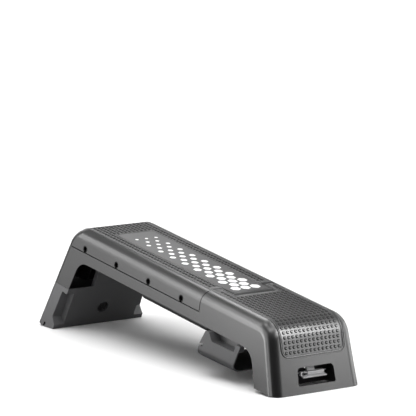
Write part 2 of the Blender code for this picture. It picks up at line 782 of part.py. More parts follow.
def leg_hollow():
    """The inside of the leg, open at its top rim."""
    inner = [(u + WALL / math.cos(END_SLOPE) if n in (0, 4) else u, w)
             for n, (u, w) in enumerate(leg_outline(WALL, 0.02))]
    hollow = keep(prism(inner, -WIDE, WIDE), form(WALL))
    return cut(hollow, *both_sides(pocket_outline(WALL), LEG_POCKET_HALF - WALL, WIDE, "pocket"))


def leg_tongue():
    """The hinge tongue: a plate up from the inner face with the barrel at its end."""
    axis = Vector(LEG_AXIS)
    radius = 0.0213
    start = math.atan2(-INWARD.y, -INWARD.x)
    outline = [on_leg(0.040, 0.0002)]
    for step in range(17):
        angle = start - math.radians(270) * step / 16
        outline.append(axis + Vector((math.cos(angle), math.sin(angle))) * radius)
    outline += [on_leg(-0.048, 0.0145), on_leg(0.040, 0.0145)]
    return prism([tuple(p) for p in outline], -LEG_TONGUE_HALF, LEG_TONGUE_HALF)


def knob_place():
    """Axis of the lock knob, square to the inner face and pointing out of it."""
    at = on_leg(KNOB_S, 0.0)
    out = Vector((-INWARD.x, 0.0, -INWARD.y))
    turn = Vector((0.0, 0.0, 1.0)).rotation_difference(out).to_matrix().to_4x4()
    return Matrix.Translation((at.x, 0.0, at.y)) @ turn


def knob_drum(radius, low, high):
    return turned([(0.0, high), (radius, high), (radius, low), (0.0, low)], knob_place(), "drum")


def hook_slot():
    """The slot for a band's loop, open at the toe of each foot."""
    centre = Vector(HOOK_AT)
    toe = Vector((LEG_CORNER_U, floor_line(LEG_CORNER_U)))
    out = (toe - centre).normalized()
    side = Vector((-out.y, out.x))
    radius, half = 0.0056, 0.0034
    start = math.atan2(out.y, out.x) + math.asin(half / radius)
    outline = []
    for step in range(13):
        angle = start + (2 * math.pi - 2 * math.asin(half / radius)) * step / 12
        outline.append(centre + Vector((math.cos(angle), math.sin(angle))) * radius)
    outline += [centre + out * 0.03 - side * half, centre + out * 0.03 + side * half]
    return [tuple(p) for p in outline]


def pad_outline(top, low, shrink):
    """The side view of a foot pad on the floor facet."""
    heel = leg_heel()
    ends = (heel.x + 0.0045 + shrink, 0.5955 - shrink)
    return [(ends[0], floor_line(ends[0]) + low), (ends[1], floor_line(ends[1]) + low),
            (ends[1], floor_line(ends[1]) + top), (ends[0], floor_line(ends[0]) + top)]


def leg_shell(name):
    """The leg: it carries on the body's outer form, hollow, with corner pockets."""
    leg = keep(prism(leg_outline(PAD_PROUD, -LEG_RIM_GAP), -WIDE, WIDE, "side", name), form())
    cut(leg, *both_sides(pocket_outline(0.0), LEG_POCKET_HALF, WIDE, "pocket"), toe_rounding())
    cut(leg, leg_hollow())
    add(leg, leg_tongue())
    add(leg, keep(knob_drum(0.0245, -0.0160, -0.0005), form()))
    cut(leg, knob_drum(0.0210, -0.0120, 0.0100), knob_drum(0.0058, -0.0300, 0.0100))
    inside = prism(leg_outline(PAD_PROUD + 0.001, -0.01), -WIDE, WIDE)
    keep(inside, form(WALL - 0.001))
    add(leg, keep(drum(0.0105, -WIDE, WIDE, HOOK_AT), copy_of(inside, "inside")))
    for low, high in ((-0.19, -0.137), (0.137, 0.19)):
        boss = [(0.588, -0.118), (0.70, -0.118), (0.70, -0.17), (0.588, -0.17)]
        add(leg, keep(prism(boss, low, high), copy_of(inside, "inside")))
    bpy.data.objects.remove(inside)
    cut(leg, prism(hook_slot(), -WIDE, WIDE))
    for low, high in ((0.030, 0.128), (-0.128, -0.030)):
        cut(leg, prism(pad_outline(PAD_PROUD + 0.0012, -0.02, 0.0), low, high))
    cut(leg, drum(LEG_PIN_RADIUS + FIT, -0.1, 0.1, LEG_AXIS, sides=20))
    leg.name = name
    return leg


def leg_pad(across, name):
    low, high = sorted((across * 0.0304, across * 0.1276))
    return prism(pad_outline(PAD_PROUD + 0.0009, 0.0, 0.0004), low, high, "side", name)


def lock_knob(name):
    """A quarter-turn knob that sits in its cup, with a grip bar across its face."""
    profile = [(0.0, -0.0058), (KNOB_RADIUS - 0.0010, -0.0058), (KNOB_RADIUS, -0.0068),
               (KNOB_RADIUS, -0.0115), (0.0053, -0.0115), (0.0053, -0.0230), (0.0, -0.0230)]
    knob = turned(profile, knob_place(), name)
    bar = block((-0.0035, 0.0035), (-0.0165, 0.0165), (-0.0070, -0.0012))
    bar.data.transform(knob_place() @ Matrix.Rotation(math.radians(50), 4, "Z"))
    return add(knob, bar)


# Release paddle, drawn at the near end

def release_paddle(name):
    """A bell crank: finger plate behind the handle hole, hub, and pawl arm to the barrel."""
    u, w = PADDLE_AXIS
    hub = 0.0062
    plate = [(u - 0.002, w - hub, 0.002), (0.5750, 0.0400, 0.001), (0.5750, 0.0438, 0.001),
             (u + hub + 0.002, 0.0446, 0.002), (u + hub, w + 0.003, 0.002), (u, w + hub, 0.004),
             (u - hub, w + 0.002, 0.004), (u - hub, w - 0.003, 0.003)]
    paddle = prism(plate, -PADDLE_HALF, PADDLE_HALF, "side", name)
    arm = [(u - 0.0045, w - 0.001), (u + 0.0040, w - 0.001), (0.5262, 0.0905, 0.003),
           (0.5135, 0.0905, 0.0015), (0.5135, 0.0855, 0.0015), (0.5205, 0.0835, 0.003)]
    add(paddle, prism(arm, -0.014, 0.014))
    cut(paddle, block((u - 0.010, u + 0.0085), (-0.0390, -0.0170), (w - 0.010, w + 0.010)))
    return cut(paddle, drum(0.0033, -0.1, 0.1, PADDLE_AXIS, sides=16))


def paddle_spring(side, name):
    """The torsion spring that returns the paddle, wound round its pin."""
    turns, points = 5, 8
    radius, wire = 0.0048, 0.0006
    u, w = PADDLE_AXIS
    curve = bpy.data.curves.new(name, "CURVE")
    curve.dimensions = "3D"
    curve.bevel_depth = wire
    curve.bevel_resolution = 1
    curve.use_fill_caps = True
    spline = curve.splines.new("POLY")
    count = turns * points
    spline.points.add(count)
    for n in range(count + 1):
        angle = 2 * math.pi * n / points
        v = -0.0375 + 0.0185 * n / count
        spline.points[n].co = (side * (u + radius * math.cos(angle)), v, w + radius * math.sin(angle), 1)
    drawn = solid("drawn", curve)
    view = bpy.context.evaluated_depsgraph_get()
    shape = bmesh.new()
    shape.from_mesh(bpy.data.meshes.new_from_object(drawn.evaluated_get(view)))
    bpy.data.objects.remove(drawn)
    bmesh.ops.remove_doubles(shape, verts=shape.verts, dist=0.00001)
    return from_bmesh(name, shape)


# Assembly

def axis_empty(name, deck, u, w, turn=0.0, v=0.0):
    """An empty on a joint's axis, turned about the deck's cross axis."""
    empty = bpy.data.objects.new(name, None)
    STEP.objects.link(empty)
    empty.parent = deck
    empty.location = (u, v, w)
    empty.rotation_euler = (0.0, turn, 0.0)
    return empty


def fit(piece, parent, recipe, origin=(0.0, 0.0, 0.0)):
    """Moves a finished piece from the workbench to its parent, origin on the parent."""
    piece.data.transform(Matrix.Translation(-Vector(origin)))
    BENCH.objects.unlink(piece)
    STEP.objects.link(piece)
    piece.parent = parent
    piece.data.materials.clear()
    piece.data.materials.append(material(recipe))
    piece.data.shade_smooth()
    piece.data.set_sharp_from_angle(angle=math.radians(28))
    return piece


def fit_body(deck):
    whole = skin()
    lid_skin = copy_of(whole, "lid_skin")
    fit(body_shell(whole), deck, PLASTIC)
    fit(seat_tread(), deck, RUBBER)
    fit(storage_tray(), deck, DARK_PLASTIC)
    for across, hand in HANDS:
        fit(rack(across, f"{hand}_rack"), deck, DARK_PLASTIC)
    fit(lid_rod(), deck, STEEL)
    for side, end in ((1, "near"), (-1, "far")):
        for across, hand in HANDS:
            fit(button(side, across, f"{end}_{hand}_foot_button"), deck, RUBBER)
            fit(leg_washer(side, across, f"{end}_{hand}_leg_washer"), deck, DARK_PLASTIC)
        fit(leg_pin(side, f"{end}_leg_pin"), deck, STEEL)
        fit(paddle_pin(side, f"{end}_paddle_pin"), deck, STEEL)
        fit(paddle_spring(side, f"{end}_paddle_spring"), deck, STEEL)
    return lid_skin


def fit_lid(deck, lid_skin):
    u, w = LID_AXIS
    hinge = axis_empty("backrest_axis", deck, u, w)
    origin = (u, 0.0, w)
    fit(backrest_shell(lid_skin), hinge, PLASTIC, origin)
    fit(backrest_tread(), hinge, RUBBER, origin)
    fit(centre_panel(), hinge, PANEL, origin)
    for across, hand in HANDS:
        fit(strut_clamp(across, f"{hand}_strut_clamp"), hinge, DARK_PLASTIC, origin)
    pivot = axis_empty("strut_axis", hinge, STRUT_PIVOT[0] - u, STRUT_PIVOT[1] - w)
    fit(support_strut(), pivot, STEEL, (STRUT_PIVOT[0], 0.0, STRUT_PIVOT[1]))


def fit_leg(deck, side, end, folded):
    """One leg with its pads and knob; drawn folded out at the near end, mirrored for the far."""
    u, w = LEG_AXIS
    fold = math.pi / 2 + END_SLOPE if folded else 0.0
    hinge = axis_empty(f"{end}_leg_axis", deck, side * u, w, side * fold)
    pieces = [(leg_shell(f"{end}_leg_shell"), LEG_PLASTIC),
              (lock_knob(f"{end}_lock_knob"), DARK_PLASTIC)]
    for across, hand in HANDS:
        pieces.append((leg_pad(across, f"{end}_{hand}_leg_pad"), RUBBER))
    for piece, recipe in pieces:
        if side < 0:
            name = piece.name
            flipped = mirrored(piece, "flipped", 0)
            bpy.data.objects.remove(piece)
            flipped.name = name
            piece = flipped
        if "knob" in piece.name:
            at = knob_place().translation
            pivot = axis_empty(f"{end}_knob_axis", hinge, side * (at.x - u), at.z - w)
            fit(piece, pivot, recipe, (side * at.x, 0.0, at.z))
        else:
            fit(piece, hinge, recipe, (side * u, 0.0, w))


def fit_paddle(deck, side, end):
    u, w = PADDLE_AXIS
    pivot = axis_empty(f"{end}_paddle_axis", deck, side * u, w)
    paddle = release_paddle(f"{end}_paddle")
    if side < 0:
        flipped = mirrored(paddle, "flipped", 0)
        bpy.data.objects.remove(paddle)
        flipped.name = f"{end}_paddle"
        paddle = flipped
    fit(paddle, pivot, PADDLE_PLASTIC, (side * u, 0.0, w))


def set_down(deck):
    """Tilts the deck to its decline and sets it on the floor, centred on the origin."""
    deck.rotation_euler = (0.0, DECLINE, 0.0)
    bpy.context.view_layer.update()
    corners = []
    for piece in STEP.objects:
        if piece.type == "MESH":
            corners += [piece.matrix_world @ vert.co for vert in piece.data.vertices]
    left = min(corner.x for corner in corners)
    right = max(corner.x for corner in corners)
    deck.location = (-(left + right) / 2, 0.0, -min(corner.z for corner in corners))
    bpy.context.view_layer.update()


for thing in list(bpy.data.objects):
    bpy.data.objects.remove(thing)

STEP = bpy.data.collections.new("aerobic_step")
BENCH = bpy.data.collections.new("workbench")
bpy.context.scene.collection.children.link(STEP)
bpy.context.scene.collection.children.link(BENCH)

deck_empty = bpy.data.objects.new("deck", None)
STEP.objects.link(deck_empty)
fit_lid(deck_empty, fit_body(deck_empty))
fit_leg(deck_empty, 1, "near", True)
fit_leg(deck_empty, -1, "far", False)
fit_paddle(deck_empty, 1, "near")
fit_paddle(deck_empty, -1, "far")
set_down(deck_empty)
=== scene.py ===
import math

import bmesh
import bpy
import numpy as np
from mathutils import Matrix, Vector


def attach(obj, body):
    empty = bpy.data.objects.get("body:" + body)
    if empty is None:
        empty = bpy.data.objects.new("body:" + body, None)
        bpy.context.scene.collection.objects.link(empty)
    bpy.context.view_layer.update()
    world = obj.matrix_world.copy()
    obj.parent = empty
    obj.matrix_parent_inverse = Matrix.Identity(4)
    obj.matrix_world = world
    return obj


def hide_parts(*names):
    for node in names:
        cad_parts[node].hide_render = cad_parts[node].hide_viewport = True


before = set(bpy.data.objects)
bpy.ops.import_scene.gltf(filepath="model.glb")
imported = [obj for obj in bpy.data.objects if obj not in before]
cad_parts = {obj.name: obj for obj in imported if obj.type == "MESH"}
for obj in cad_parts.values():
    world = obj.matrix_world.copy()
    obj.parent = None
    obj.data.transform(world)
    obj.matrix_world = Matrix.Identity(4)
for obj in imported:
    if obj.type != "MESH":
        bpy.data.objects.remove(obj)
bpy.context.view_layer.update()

# The photographer's set: a seamless white floor, a long lens low over the near left corner,
# and white softboxes on stands.  The step is glossy and almost black, so what shows on it is
# mostly the softboxes and the dark room between them.

CAMERA_AZIMUTH = math.radians(53.63)
CAMERA_ELEVATION = math.radians(9.7)
CAMERA_ROLL = 0.0143
CAMERA_DISTANCE = 9.2349
CAMERA_LENS = 257.3
CAMERA_ASIDE, CAMERA_UP = 0.0171, 0.381
DECK_ORIGIN = (0.03678, 0.0, 0.07855)


def placed(name, data):
    """A new object of that data, in the scene."""
    made = bpy.data.objects.new(name, data)
    bpy.context.scene.collection.objects.link(made)
    return made


def direction(azimuth, elevation):
    """The way to a compass direction and a height, both in degrees."""
    a, e = math.radians(azimuth), math.radians(elevation)
    return Vector((math.cos(a) * math.cos(e), math.sin(a) * math.cos(e), math.sin(e)))


back = Vector((math.sin(CAMERA_AZIMUTH) * math.cos(CAMERA_ELEVATION),
               -math.cos(CAMERA_AZIMUTH) * math.cos(CAMERA_ELEVATION),
               math.sin(CAMERA_ELEVATION)))
level = Vector((math.cos(CAMERA_AZIMUTH), math.sin(CAMERA_AZIMUTH), 0.0))
upright = back.cross(level)
right = level * math.cos(CAMERA_ROLL) + upright * math.sin(CAMERA_ROLL)
top = upright * math.cos(CAMERA_ROLL) - level * math.sin(CAMERA_ROLL)
lens = bpy.data.cameras.new("long_lens")
lens.lens = CAMERA_LENS
lens.sensor_width = 36.0
lens.clip_end = 100.0
camera = placed("long_lens", lens)
turned = Matrix((right, top, back)).transposed().to_4x4()
stand = back * CAMERA_DISTANCE + level * CAMERA_ASIDE + upright * CAMERA_UP + Vector(DECK_ORIGIN)
camera.matrix_world = Matrix.Translation(stand) @ turned
bpy.context.scene.camera = camera
bpy.context.scene.view_settings.view_transform = "Standard"


def softbox(name, azimuth, elevation, distance, wide, high, brightness, seen_from):
    """A lit rectangle facing a point of the step.  The boxes show in the gloss only: flags
    keep them off the floor and the matt colour, which the scrims light."""
    out = direction(azimuth, elevation)
    lamp = bpy.data.lights.new(name, "AREA")
    lamp.shape = "RECTANGLE"
    lamp.size = wide
    lamp.size_y = high
    lamp.energy = brightness * math.pi * wide * high
    made = placed(name, lamp)
    place = Matrix.Translation(out * distance + Vector(seen_from))
    made.matrix_world = place @ out.to_track_quat("Z", "Y").to_matrix().to_4x4()
    made.visible_camera = False
    made.visible_diffuse = False


def scrim(name, azimuth, elevation, spread, strength):
    """A wide cloth lit from behind, as a far light of some spread in degrees that lights the
    floor and the matt colour and doesn't show in the gloss."""
    lamp = bpy.data.lights.new(name, "SUN")
    lamp.energy = strength
    lamp.angle = math.radians(spread)
    made = placed(name, lamp)
    made.visible_glossy = False
    made.rotation_euler = direction(azimuth, elevation).to_track_quat("Z", "Y").to_euler()


# The wall of softboxes on the step's left: columns by compass direction, each with the
# brightness of its low, middle and high box.  The boxes' heights come with their sizes.
MIDDLE = (0.1, 0.0, 0.1)
LEFT_BOXES = ((4, 0.62, 0.85), (28, 0.55, 0.90), (50, 0.43, 0.75))
LEFT_WALL = {-156: (1.9, 5.7, 0.8), -140: (2.5, 5.0, 6.8), -124: (9.3, 11.2, 0.0),
             -108: (18.3, 5.6, 0.0), -92: (0.0, 4.8, 0.8), -76: (8.1, 4.8, 0.0)}
for azimuth, column in LEFT_WALL.items():
    for (elevation, wide, high), brightness in zip(LEFT_BOXES, column):
        if brightness:
            softbox(f"left_box_{-azimuth}_{elevation}", azimuth, elevation, 2.2,
                    wide, high, brightness, MIDDLE)

# Strips close to the near end, mostly high, then boxes over the top, behind and on the right:
# compass direction, height, size and brightness.
NEAR_END = (0.6, -0.05, 0.1)
for azimuth, elevation, wide, high, brightness in (
        (14, 46, 0.24, 0.45, 12.0), (28, 4, 0.32, 0.50, 1.7), (28, 46, 0.24, 0.45, 9.7),
        (44, 4, 0.32, 0.50, 5.8), (44, 26, 0.29, 0.50, 31.2), (44, 46, 0.24, 0.45, 40.0)):
    softbox(f"end_strip_{azimuth}_{elevation}", azimuth, elevation, 1.3,
            wide, high, brightness, NEAR_END)
softbox("right_low_box", 82, 8, 1.2, 0.8, 0.6, 5.0, NEAR_END)
for azimuth, elevation, wide, high, brightness in (
        (-45, 58, 0.9, 0.6, 6.7), (-12, 60, 0.9, 0.7, 5.8), (25, 60, 0.9, 0.7, 3.6),
        (-110, 74, 0.8, 0.6, 8.0), (70, 74, 0.8, 0.6, 13.0), (160, 70, 0.8, 0.6, 2.2)):
    softbox(f"top_scrim_{azimuth}", azimuth, elevation, 2.2, wide, high, brightness, MIDDLE)
softbox("back_softbox", 160, 18, 2.6, 1.6, 1.3, 1.3, MIDDLE)
softbox("back_high_strip", 146, 50, 2.4, 0.9, 0.8, 8.8, MIDDLE)
softbox("back_left_strip", -175, 45, 2.4, 0.8, 0.8, 0.8, MIDDLE)
softbox("right_softbox", 95, 30, 2.6, 2.2, 1.4, 2.0, MIDDLE)

# The scrim overhead lights the floor.  Two low ones lift the shadow and the matt undersides.
scrim("overhead_scrim", 0.0, 90.0, 70.0, 3.3)
scrim("left_bounce", -70.0, 20.0, 110.0, 1.5)
scrim("front_bounce", -20.0, 24.0, 110.0, 0.7)

# Pure white paper behind for the camera, a dark room for everything else.
room = bpy.data.worlds.new("room")
room.use_nodes = True
room_nodes = room.node_tree.nodes
room_links = room.node_tree.links
dark_room = room_nodes["Background"]
dark_room.inputs["Color"].default_value = (0.02, 0.02, 0.0205, 1.0)
white_wall = room_nodes.new("ShaderNodeBackground")
white_wall.inputs["Color"].default_value = (1.0, 1.0, 1.0, 1.0)
seen = room_nodes.new("ShaderNodeLightPath")
mixed = room_nodes.new("ShaderNodeMixShader")
room_links.new(seen.outputs["Is Camera Ray"], mixed.inputs["Fac"])
room_links.new(dark_room.outputs["Background"], mixed.inputs[1])
room_links.new(white_wall.outputs["Background"], mixed.inputs[2])
room_links.new(mixed.outputs["Shader"], room_nodes["World Output"].inputs["Surface"])
bpy.context.scene.world = room

bpy.ops.mesh.primitive_plane_add(size=120.0, location=(0.0, 0.0, 0.0))
floor = bpy.context.object
floor.name = "floor"
floor.visible_glossy = False


def new_material(name):
    """An empty material, with its nodes, its links and its shader."""
    made = bpy.data.materials.new(name)
    made.use_nodes = True
    nodes = made.node_tree.nodes
    return made, nodes, made.node_tree.links, nodes["Principled BSDF"]


paper, _, _, paper_shader = new_material("white_paper")
paper_shader.inputs["Base Color"].default_value = (0.90, 0.90, 0.90, 1.0)
paper_shader.inputs["Roughness"].default_value = 0.9
paper_shader.inputs["Specular IOR Level"].default_value = 0.2
floor.data.materials.append(paper)


# Deck body: one hollow moulding of black polypropylene with two feet, the skirt between them
# and the closed seat at the near end.  Its outside has a fine spark-eroded texture, and it
# carries every other piece of the step.

DECLINE = math.radians(7.561)
MERGE_WITHIN = 0.000004
FLAT_WITHIN = math.radians(0.2)


def deck(points):
    """Deck axes u, v, w to the room: turned by the decline about the cross axis, then moved
    to where the deck stands."""
    u, v, w = points[..., 0], points[..., 1], points[..., 2]
    c, s = math.cos(DECLINE), math.sin(DECLINE)
    return np.stack((u * c + w * s + DECK_ORIGIN[0], v, w * c - u * s + DECK_ORIGIN[2]), axis=-1)


def merged_copy(node, body, material, name, sharp=32.0):
    """A moulding as packed, with its loose triangles joined: corners closer than four microns
    become one, and each corner's normal is the mean of its faces' normals weighted by area,
    except across edges sharper than the given angle."""
    shape = bmesh.new()
    shape.from_mesh(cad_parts[node].data)
    bmesh.ops.remove_doubles(shape, verts=shape.verts, dist=MERGE_WITHIN)
    bmesh.ops.dissolve_limit(shape, angle_limit=FLAT_WITHIN, verts=shape.verts, edges=shape.edges)
    mesh = bpy.data.meshes.new(name)
    shape.to_mesh(mesh)
    shape.free()
    if "custom_normal" in mesh.attributes:
        mesh.attributes.remove(mesh.attributes["custom_normal"])
    mesh.materials.clear()
    mesh.materials.append(material)
    mesh.shade_smooth()
    mesh.set_sharp_from_angle(angle=math.radians(sharp))
    piece = placed(name, mesh)
    weighted = piece.modifiers.new("Weighted normals", "WEIGHTED_NORMAL")
    weighted.keep_sharp = True
    weighted.weight = 60
    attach(piece, body)
    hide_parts(node)


def moulded_texture():
    """Spark-eroded mould texture: two sizes of noise give the height, a slow noise shifts the
    roughness where hands have polished it, and the rarest peaks of a third carry dust."""
    group = bpy.data.node_groups.new("moulded_texture", "ShaderNodeTree")
    face = group.interface
    for label, kind, value in (("Grain per metre", "NodeSocketFloat", 1500.0),
                               ("Roughness", "NodeSocketFloat", 0.35),
                               ("Polish", "NodeSocketFloat", 0.06),
                               ("Dust", "NodeSocketFloat", 0.3)):
        face.new_socket(label, in_out="INPUT", socket_type=kind).default_value = value
    face.new_socket("Vector", in_out="INPUT", socket_type="NodeSocketVector")
    for label in ("Height", "Roughness", "Dust mask"):
        face.new_socket(label, in_out="OUTPUT", socket_type="NodeSocketFloat")
    nodes, links = group.nodes, group.links
    given, made = nodes.new("NodeGroupInput"), nodes.new("NodeGroupOutput")

    def noise(scale_from, factor, detail, rough):
        texture = nodes.new("ShaderNodeTexNoise")
        texture.inputs["Detail"].default_value = detail
        texture.inputs["Roughness"].default_value = rough
        links.new(given.outputs["Vector"], texture.inputs["Vector"])
        if scale_from is None:
            texture.inputs["Scale"].default_value = factor
        else:
            times = nodes.new("ShaderNodeMath")
            times.operation = "MULTIPLY"
            times.inputs[1].default_value = factor
            links.new(scale_from, times.inputs[0])
            links.new(times.outputs[0], texture.inputs["Scale"])
        return texture.outputs["Fac"]

    def sums(operation, first, second, third=None):
        step = nodes.new("ShaderNodeMath")
        step.operation = operation
        for socket, value in zip(step.inputs, (first, second, third)):
            if value is None:
                continue
            if isinstance(value, (int, float)):
                socket.default_value = value
            else:
                links.new(value, socket)
        return step.outputs[0]

    fine = noise(given.outputs["Grain per metre"], 1.0, 2.0, 0.6)
    broad = noise(given.outputs["Grain per metre"], 0.31, 1.0, 0.5)
    height = sums("MULTIPLY_ADD", broad, 0.6, sums("MULTIPLY", fine, 0.4))
    links.new(height, made.inputs["Height"])
    slow = noise(None, 7.0, 3.0, 0.55)
    centred = sums("SUBTRACT", slow, 0.5)
    swing = sums("MULTIPLY", centred, given.outputs["Polish"])
    spread = sums("MULTIPLY_ADD", fine, 0.05, given.outputs["Roughness"])
    links.new(sums("MULTIPLY_ADD", swing, 2.0, spread), made.inputs["Roughness"])
    specks = nodes.new("ShaderNodeMapRange")
    specks.inputs["From Min"].default_value = 0.68
    specks.inputs["From Max"].default_value = 0.80
    links.new(noise(None, 420.0, 2.0, 0.7), specks.inputs["Value"])
    links.new(sums("MULTIPLY", specks.outputs["Result"], given.outputs["Dust"]), made.inputs["Dust mask"])
    return group


texture_group = moulded_texture()


def blend(nodes, links, factor, low, high, socket):
    """Two colours mixed by a factor, into a socket."""
    mix = nodes.new("ShaderNodeMix")
    mix.data_type = "RGBA"
    mix.inputs["A"].default_value = (*low, 1.0)
    mix.inputs["B"].default_value = (*high, 1.0)
    links.new(factor, mix.inputs["Factor"])
    links.new(mix.outputs["Result"], socket)


def relief(nodes, links, height, depth, shader):
    """A bump of that depth in metres, into the shader."""
    bump = nodes.new("ShaderNodeBump")
    bump.inputs["Distance"].default_value = depth
    links.new(height, bump.inputs["Height"])
    links.new(bump.outputs["Normal"], shader.inputs["Normal"])


def moulded_plastic(name, colour, dust_colour, roughness, grain, depth, ior=1.5, dust=0.3):
    """A plastic or rubber with the mould's texture at its own scale and depth."""
    made, nodes, links, shader = new_material(name)
    shader.inputs["IOR"].default_value = ior
    where = nodes.new("ShaderNodeTexCoord")
    group = nodes.new("ShaderNodeGroup")
    group.node_tree = texture_group
    group.inputs["Grain per metre"].default_value = grain
    group.inputs["Roughness"].default_value = roughness
    group.inputs["Dust"].default_value = dust
    links.new(where.outputs["Object"], group.inputs["Vector"])
    blend(nodes, links, group.outputs["Dust mask"], colour, dust_colour, shader.inputs["Base Color"])
    links.new(group.outputs["Roughness"], shader.inputs["Roughness"])
    relief(nodes, links, group.outputs["Height"], depth, shader)
    return made


deck_plastic = moulded_plastic("deck_plastic", (0.006, 0.006, 0.0062), (0.05, 0.05, 0.05),
                               roughness=0.30, grain=1300.0, depth=0.00003)
merged_copy("body_shell", "deck_body", deck_plastic, "deck_moulding")


# Seat mat: a black rubber mat with raised grip studs, pressed into a shallow pocket and glued.
# It runs over the rounded near end and ends in two rounded corners above the hand hole.  A
# raised rim and a thin bead run round its edge.

HALF_LENGTH = 0.597
HEIGHT = 0.203
END_SLOPE = math.radians(20.8)
END_ROUND = 0.072
ROUND_W = HEIGHT - END_ROUND
ROUND_U = HALF_LENGTH - ROUND_W * math.tan(END_SLOPE) - END_ROUND / math.cos(END_SLOPE)
ARC = END_ROUND * (math.pi / 2 - END_SLOPE)
MAT_HALF = 0.118
MAT_CORNER = 0.025
MAT_TOP = 0.00098
FIELD = -0.00035
FIELD_INSET = 0.0066
POCKET_FLOOR = -0.0012


def over_the_end(side, s, v, h):
    """A point s along the deck's top line, v across and h above: the line is level up to the
    rounding, then follows its arc, then runs straight down the end wall."""
    turn = np.clip((s - ROUND_U) / END_ROUND, 0.0, math.pi / 2 - END_SLOPE)
    down = np.maximum(s - ROUND_U - ARC, 0.0)
    u = np.minimum(s, ROUND_U) + (END_ROUND + h) * np.sin(turn) + down * math.sin(END_SLOPE)
    w = ROUND_W + (END_ROUND + h) * np.cos(turn) - down * math.cos(END_SLOPE)
    return deck(np.stack((side * u, v + 0.0 * u, w), axis=-1))


def along_the_wall(low_w):
    """How far along the top line a height on the end wall is."""
    return ROUND_U + ARC + (ROUND_W + END_ROUND * math.sin(END_SLOPE) - low_w) / math.cos(END_SLOPE)


def closed_mesh(name, parts, material):
    """Joins closed parts, each given by its points and its faces of four, where a last corner
    of -1 leaves three.  A part whose volume comes out negative is turned inside out."""
    points, faces, start = [], [], 0
    for spots, quads in parts:
        spots = np.asarray(spots, float).reshape(-1, 3)
        quads = np.asarray(quads, int).reshape(-1, 4)
        a, b, c = (spots[quads[:, n]] for n in range(3))
        d = np.where(quads[:, 3:4] < 0, a, spots[quads[:, 3]])
        volume = np.einsum("ij,ij->", a, np.cross(b, c)) + np.einsum("ij,ij->", a, np.cross(c, d))
        turned_over = quads[:, ::-1] if volume < 0 else quads
        for corners in turned_over + np.where(turned_over < 0, 0, start):
            faces.append([int(n) for n in corners if n >= 0])
        points.append(spots)
        start += len(spots)
    mesh = bpy.data.meshes.new(name)
    mesh.from_pydata(np.concatenate(points).tolist(), [], faces)
    mesh.materials.append(material)
    return placed(name, mesh)


def ring_faces(rows, columns, open_rows=False):
    """Faces of four over a grid that closes round its columns, and round its rows too unless
    they are open."""
    bands = rows - 1 if open_rows else rows
    i, j = np.meshgrid(np.arange(bands), np.arange(columns), indexing="ij")
    here, after = i * columns, ((i + 1) % rows) * columns
    beside = (j + 1) % columns
    return np.stack((here + j, here + beside, after + beside, after + j), axis=-1).reshape(-1, 4)


def mat_plate(side, s, left, right, columns):
    """The mat's field as a closed slab: stations along the top line, each from its left to its
    right edge, between the field's height and the pocket's floor."""
    k = np.linspace(0.0, 1.0, columns)
    across = left[:, None] + (right - left)[:, None] * k
    along = np.repeat(s[:, None], columns, axis=1)
    upper = over_the_end(side, along, across, FIELD)
    lower = over_the_end(side, along, across, POCKET_FLOOR)
    rings = np.concatenate((upper, lower[:, ::-1]), axis=1)
    rows, ring = rings.shape[:2]
    j = np.arange(columns - 1)
    cap = np.stack((j, j + 1, ring - 2 - j, ring - 1 - j), axis=-1)
    faces = (ring_faces(rows, ring, open_rows=True), cap[:, ::-1], cap + (rows - 1) * ring)
    return rings.reshape(-1, 3), np.concatenate(faces)


def outline_of(corners, step=0.0035):
    """A closed outline: straight runs with arcs of the given radius at the corners, as evenly
    spaced points, with the inward normal stretched at each so that offsets keep their width."""
    spots = np.array([c[:2] for c in corners], float)
    runs = []
    for n, (here, radius) in enumerate(zip(spots, (c[2] for c in corners))):
        before = spots[n - 1] - here
        after = spots[(n + 1) % len(spots)] - here
        before /= np.linalg.norm(before)
        after /= np.linalg.norm(after)
        half = math.acos(np.clip(before @ after, -1, 1)) / 2
        centre = here + (before + after) / np.linalg.norm(before + after) * radius / math.sin(half)
        first = here + before * radius / math.tan(half) - centre
        last = here + after * radius / math.tan(half) - centre
        turn = math.atan2(first[0] * last[1] - first[1] * last[0], first @ last)
        t = np.linspace(0.0, turn, 9)[:, None]
        runs.append(centre + first * np.cos(t) + np.array((-first[1], first[0])) * np.sin(t))
    points = []
    for run, following in zip(runs, runs[1:] + runs[:1]):
        points.append(run)
        gap = following[0] - run[-1]
        count = int(np.linalg.norm(gap) / step)
        points.append(run[-1] + gap * np.linspace(0, 1, count + 2)[1:-1, None])
    points = np.concatenate(points)
    ahead = np.roll(points, -1, axis=0) - points
    ahead /= np.linalg.norm(ahead, axis=1)[:, None]
    behind = np.roll(ahead, 1, axis=0)
    x, y = points[:, 0], points[:, 1]
    sign = 1.0 if np.sum(x * np.roll(y, -1) - y * np.roll(x, -1)) > 0 else -1.0
    middle = ahead + behind
    middle /= np.linalg.norm(middle, axis=1)[:, None]
    inward = sign * np.stack((-middle[:, 1], middle[:, 0]), axis=-1)
    inward /= np.clip(np.sum(middle * ahead, axis=1), 0.5, 1.0)[:, None]
    return points, inward


RIM = np.array(((0.0008, -0.0011), (0.0008, 0.0004), (0.0011, 0.0008), (0.0015, MAT_TOP),
                (0.0036, MAT_TOP), (0.0040, 0.0008), (0.0042, 0.0003), (0.0044, -0.0009),
                (0.0058, -0.0009), (0.0060, 0.0002), (0.0063, 0.0006), (0.0072, 0.0006),
                (0.0075, 0.0002), (0.0077, -0.0004), (0.0077, -0.0011)))


def mat_rim(side, outline, inward):
    """The rim's section, inward distance and height, carried round the outline."""
    flat = outline[:, None, :] + inward[:, None, :] * RIM[None, :, :1]
    height = np.broadcast_to(RIM[:, 1], flat.shape[:2])
    spots = over_the_end(side, flat[..., 0], flat[..., 1], height)
    return spots.reshape(-1, 3), ring_faces(len(outline), len(RIM))


